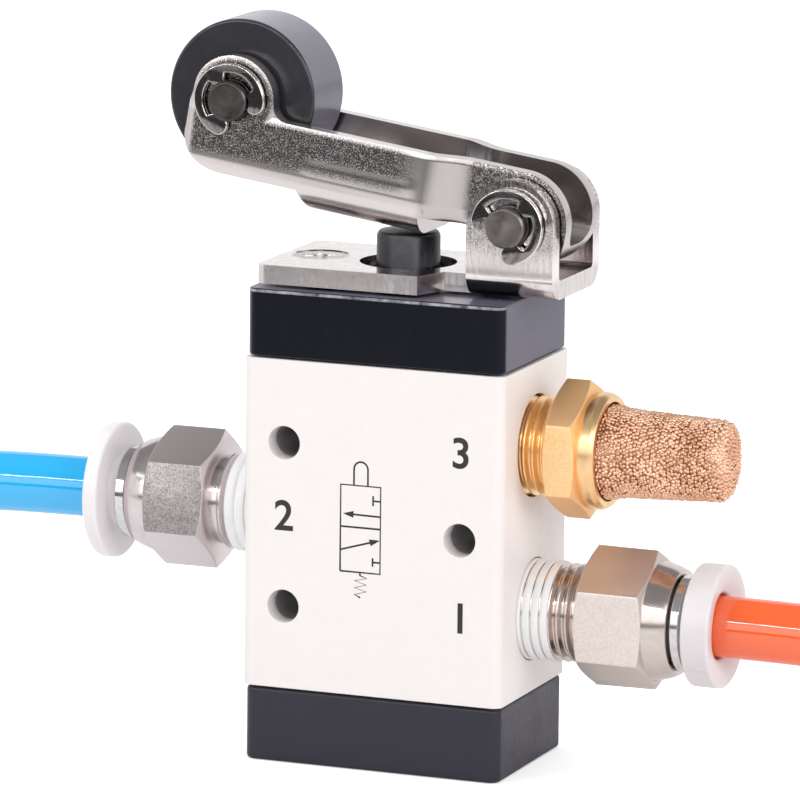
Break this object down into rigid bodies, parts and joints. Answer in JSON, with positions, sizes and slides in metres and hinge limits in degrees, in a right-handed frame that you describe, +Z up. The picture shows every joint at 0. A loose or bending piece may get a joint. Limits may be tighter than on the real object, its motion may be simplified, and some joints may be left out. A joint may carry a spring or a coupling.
{
  "type": "roller lever air valve",
  "caption": "Small spool valve worked by a roller on a pressed lever, with push-in tube fittings and an exhaust silencer.",
  "frame": {"origin": "middle of the valve's bottom face, where the bottom cap rests", "axes": "+Z up from the base to the lever, +X along the front face from the outlet side to the supply side, -Y out of the front face"},
  "size_m": [0.1085, 0.0184, 0.0721],
  "materials": {
    "white_body": "satin",
    "top_cap_plastic": "satin",
    "bottom_cap_plastic": "matte",
    "zinc_screw": "zinc plated",
    "bracket_plate": "nickel plated",
    "lever_plate": "nickel plated",
    "dark_pin": "turned",
    "black_clip": "blackened",
    "roller_plastic": "satin",
    "plunger_steel": "blackened",
    "bush_bronze": "plain",
    "seal_rubber": "matte",
    "spool_metal": "turned",
    "spring_wire": "drawn",
    "plated_brass": "nickel plated",
    "bright_ring": "polished",
    "release_plastic": "translucent",
    "claw_steel": "sprung",
    "blue_tube": "gloss",
    "red_tube": "gloss",
    "silencer_brass": "turned",
    "sintered_bronze": "sintered"
  },
  "bodies": {
    "valve": {"valve_body": "white_body", "top_cap": "top_cap_plastic", "bottom_cap": "bottom_cap_plastic", "bracket_screw_left": "zinc_screw", "bracket_screw_right": "zinc_screw", "bottom_screw_left": "zinc_screw", "bottom_screw_right": "zinc_screw", "lever_bracket": "bracket_plate", "pivot_pin": "dark_pin", "pivot_clip_front": "black_clip", "pivot_clip_back": "black_clip", "plunger_bush": "bush_bronze", "wiper_seal": "seal_rubber", "return_spring": "spring_wire", "fitting_a_body": "plated_brass", "fitting_a_guide": "bright_ring", "fitting_a_claw": "claw_steel", "fitting_a_seal": "seal_rubber", "tube_a": "blue_tube", "fitting_p_body": "plated_brass", "fitting_p_guide": "bright_ring", "fitting_p_claw": "claw_steel", "fitting_p_seal": "seal_rubber", "tube_p": "red_tube", "silencer_base": "silencer_brass", "silencer_element": "sintered_bronze"},
    "lever": {"lever": "lever_plate", "roller_pin": "dark_pin", "roller_clip_front": "black_clip", "roller_clip_back": "black_clip"},
    "roller": {"roller": "roller_plastic"},
    "plunger": {"plunger": "plunger_steel", "spool": "spool_metal", "spool_seal_1": "seal_rubber", "spool_seal_2": "seal_rubber", "spool_seal_3": "seal_rubber", "spool_seal_4": "seal_rubber"},
    "release_a": {"release_ring_a": "release_plastic"},
    "release_p": {"release_ring_p": "release_plastic"}
  },
  "joints": [
    {"name": "lever_pivot", "type": "hinge", "parent": "valve", "child": "lever", "pos_m": [0.01288, 0, 0.05425], "axis": [0, -1, 0], "range_deg": [0, 12], "stiffness_Nm_per_rad": 0.13, "springref_deg": -8.59},
    {"name": "roller_spin", "type": "hinge", "parent": "lever", "child": "roller", "pos_m": [-0.01609, 0, 0.06456], "axis": [0, 1, 0], "continuous": true},
    {"name": "plunger_slide", "type": "slide", "parent": "valve", "child": "plunger", "axis": [0, 0, -1], "range_m": [0, 0.0028], "deforming": ["return_spring"]},
    {"name": "release_a_slide", "type": "slide", "parent": "valve", "child": "release_a", "axis": [1, 0, 0], "range_m": [0, 0.00085], "stiffness_N_per_m": 200},
    {"name": "release_p_slide", "type": "slide", "parent": "valve", "child": "release_p", "axis": [-1, 0, 0], "range_m": [0, 0.0004], "stiffness_N_per_m": 200}
  ],
  "couplings": [
    {"joint": "plunger_slide", "follows": "lever_pivot", "m_per_rad": 0.0128}
  ]
}
